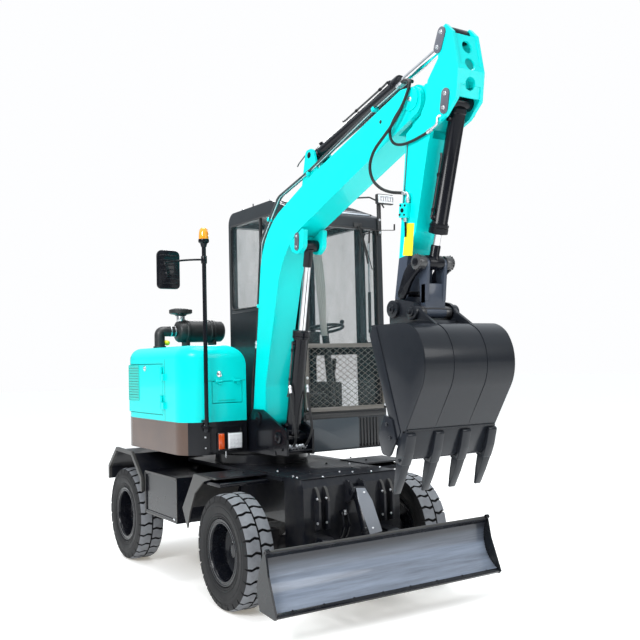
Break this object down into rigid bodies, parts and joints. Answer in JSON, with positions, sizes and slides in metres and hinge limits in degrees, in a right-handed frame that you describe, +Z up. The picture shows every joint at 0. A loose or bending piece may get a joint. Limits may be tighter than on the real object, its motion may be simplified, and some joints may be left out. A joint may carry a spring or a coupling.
{
  "type": "wheeled excavator",
  "caption": "Compact wheeled excavator with slewing cab, front dozer blade, boom offset beside the cab, arm and toothed bucket; wheels, steering, blade, boom, arm, bucket and doors move.",
  "frame": {"origin": "on the ground, under the middle of the machine's bounding box", "axes": "+X forward along the chassis, +Y to the machine's left, +Z up"},
  "size_m": [4.6, 2.12, 3.9076],
  "materials": {
    "teal_paint": "gloss",
    "black_paint": "gloss",
    "cast": "painted black",
    "tyre": "matt",
    "rim": "gloss",
    "glass": "clear",
    "seat_cover": "matt vinyl",
    "plastic": "satin",
    "pipe": "gloss",
    "lamp": "clear lens",
    "chrome": "polished",
    "guard_steel": "satin"
  },
  "bodies": {
    "chassis": {"chassis_frame": "black_paint", "mudguards": "black_paint", "side_boxes": "black_paint", "front_axle": "cast", "rear_axle": "cast"},
    "knuckle_left": {"knuckle_left": "cast"},
    "knuckle_right": {"knuckle_right": "cast"},
    "tie_rod": {"tie_rod": "black_paint"},
    "wheel_front_left": {"tyre_front_left": "tyre", "rim_front_left": "rim"},
    "wheel_front_right": {"tyre_front_right": "tyre", "rim_front_right": "rim"},
    "wheel_rear_left": {"tyre_rear_left": "tyre", "rim_rear_left": "rim"},
    "wheel_rear_right": {"tyre_rear_right": "tyre", "rim_rear_right": "rim"},
    "blade": {"blade": "black_paint"},
    "blade_barrel": {"blade_barrel": "black_paint"},
    "blade_rod": {"blade_rod": "chrome"},
    "upper": {"platform": "black_paint", "counterweight": "cast", "hood": "teal_paint", "engine": "cast", "air_cleaner": "plastic", "beacon_pole": "black_paint", "cab": "black_paint", "cab_glass": "glass", "guard": "guard_steel", "operator_seat": "seat_cover", "controls": "plastic", "lamps": "lamp"},
    "side_door": {"side_door": "teal_paint"},
    "front_lid": {"front_lid": "teal_paint"},
    "cab_door": {"cab_door": "black_paint", "door_glass": "glass"},
    "boom": {"boom": "teal_paint", "boom_lines": "pipe"},
    "boom_barrel": {"boom_barrel": "black_paint"},
    "boom_rod": {"boom_rod": "chrome"},
    "arm": {"arm": "teal_paint"},
    "arm_barrel": {"arm_barrel": "black_paint"},
    "arm_rod": {"arm_rod": "chrome"},
    "bucket_barrel": {"bucket_barrel": "black_paint"},
    "bucket_rod": {"bucket_rod": "chrome"},
    "rocker": {"rocker": "black_paint"},
    "coupler": {"coupler": "black_paint"},
    "bucket": {"bucket": "black_paint"}
  },
  "joints": [
    {"name": "front_left_wheel_spin", "type": "hinge", "parent": "knuckle_left", "child": "wheel_front_left", "pos_m": [0.29, 0.8775, 0.43], "axis": [0, 1, 0], "continuous": true},
    {"name": "front_right_wheel_spin", "type": "hinge", "parent": "knuckle_right", "child": "wheel_front_right", "pos_m": [0.29, -0.7475, 0.43], "axis": [0, 1, 0], "continuous": true},
    {"name": "rear_left_wheel_spin", "type": "hinge", "parent": "chassis", "child": "wheel_rear_left", "pos_m": [-1.81, 0.8775, 0.43], "axis": [0, 1, 0], "continuous": true},
    {"name": "rear_right_wheel_spin", "type": "hinge", "parent": "chassis", "child": "wheel_rear_right", "pos_m": [-1.81, -0.7475, 0.43], "axis": [0, 1, 0], "continuous": true},
    {"name": "steering", "type": "hinge", "parent": "chassis", "child": "knuckle_right", "pos_m": [0.29, -0.535, 0.43], "axis": [0, 0, 1], "range_deg": [-25, 25]},
    {"name": "steering_left", "type": "hinge", "parent": "chassis", "child": "knuckle_left", "pos_m": [0.29, 0.665, 0.43], "axis": [0, 0, 1], "range_deg": [-26, 26]},
    {"name": "tie_rod_turn", "type": "hinge", "parent": "knuckle_right", "child": "tie_rod", "pos_m": [0.12, -0.535, 0.36], "axis": [0, 0, 1], "range_deg": [-26, 26]},
    {"name": "slew", "type": "hinge", "parent": "chassis", "child": "upper", "pos_m": [-0.76, 0.065, 1.04], "axis": [0, 0, 1], "continuous": true},
    {"name": "boom_lift", "type": "hinge", "parent": "upper", "child": "boom", "pos_m": [-0.31, -0.075, 1.36], "axis": [0, -1, 0], "range_deg": [-55, 22]},
    {"name": "arm_swing", "type": "hinge", "parent": "boom", "child": "arm", "pos_m": [1.845, -0.075, 3.53], "axis": [0, 1, 0], "range_deg": [-60, 22]},
    {"name": "bucket_curl", "type": "hinge", "parent": "arm", "child": "bucket", "pos_m": [1.67, -0.075, 2.17], "axis": [0, -1, 0], "range_deg": [-115, 15]},
    {"name": "blade_lift", "type": "hinge", "parent": "chassis", "child": "blade", "pos_m": [0.775, 0.065, 0.475], "axis": [0, -1, 0], "range_deg": [-30, 22]},
    {"name": "boom_barrel_swing", "type": "hinge", "parent": "upper", "child": "boom_barrel", "pos_m": [0.04, -0.075, 1.22], "axis": [0, -1, 0], "range_deg": [-61, 25]},
    {"name": "boom_rod_slide", "type": "slide", "parent": "boom_barrel", "child": "boom_rod", "axis": [0.2089, 0, 0.9779], "range_m": [-0.3336, 0.1364]},
    {"name": "arm_barrel_swing", "type": "hinge", "parent": "boom", "child": "arm_barrel", "pos_m": [0.53, -0.075, 3.455], "axis": [0, -1, 0], "range_deg": [-6, 12]},
    {"name": "arm_rod_slide", "type": "slide", "parent": "arm_barrel", "child": "arm_rod", "axis": [0.9705, 0, 0.2411], "range_m": [-0.3689, 0.1384]},
    {"name": "bucket_barrel_swing", "type": "hinge", "parent": "arm", "child": "bucket_barrel", "pos_m": [2.18, -0.075, 3.43], "axis": [0, -1, 0], "range_deg": [-3, 6]},
    {"name": "bucket_rod_slide", "type": "slide", "parent": "bucket_barrel", "child": "bucket_rod", "axis": [-0.291, 0, -0.9567], "range_m": [-0.0547, 0.386]},
    {"name": "blade_barrel_swing", "type": "hinge", "parent": "chassis", "child": "blade_barrel", "pos_m": [0.765, 0.065, 0.85], "axis": [0, -1, 0], "range_deg": [-11, 9]},
    {"name": "blade_rod_slide", "type": "slide", "parent": "blade_barrel", "child": "blade_rod", "axis": [0.3782, 0, -0.9257], "range_m": [-0.0511, 0.0678]},
    {"name": "rocker_turn", "type": "hinge", "parent": "arm", "child": "rocker", "pos_m": [1.71, -0.075, 2.27], "axis": [0, -1, 0], "range_deg": [-101, 15]},
    {"name": "coupler_turn", "type": "hinge", "parent": "rocker", "child": "coupler", "pos_m": [1.885, -0.075, 2.46], "axis": [0, -1, 0], "range_deg": [-5, 26]},
    {"name": "cab_door_swing", "type": "hinge", "parent": "upper", "child": "cab_door", "pos_m": [-1.25, 0.9473, 1.5], "axis": [0, 0, 1], "range_deg": [0, 110]},
    {"name": "side_door_swing", "type": "hinge", "parent": "upper", "child": "side_door", "pos_m": [-0.983, -0.8073, 1.6], "axis": [0, 0, 1], "range_deg": [0, 80]},
    {"name": "front_lid_lift", "type": "hinge", "parent": "upper", "child": "front_lid", "pos_m": [-0.4627, -0.41, 1.69], "axis": [0, -1, 0], "range_deg": [0, 80]}
  ],
  "couplings": [
    {"joint": "steering_left", "follows": "steering", "ratio": 1},
    {"joint": "tie_rod_turn", "follows": "steering", "ratio": -1},
    {"joint": "boom_barrel_swing", "follows": "boom_lift", "ratio": 1.0655},
    {"joint": "boom_rod_slide", "follows": "boom_lift", "m_per_rad": 0.34229},
    {"joint": "arm_barrel_swing", "follows": "arm_swing", "ratio": -0.167},
    {"joint": "arm_rod_slide", "follows": "arm_swing", "m_per_rad": 0.3475},
    {"joint": "bucket_barrel_swing", "follows": "bucket_curl", "ratio": -0.0382},
    {"joint": "bucket_rod_slide", "follows": "bucket_curl", "m_per_rad": -0.18983},
    {"joint": "blade_barrel_swing", "follows": "blade_lift", "ratio": 0.3064},
    {"joint": "blade_rod_slide", "follows": "blade_lift", "m_per_rad": -0.11996},
    {"joint": "rocker_turn", "follows": "bucket_curl", "ratio": 0.8652},
    {"joint": "coupler_turn", "follows": "bucket_curl", "ratio": -0.2069}
  ]
}
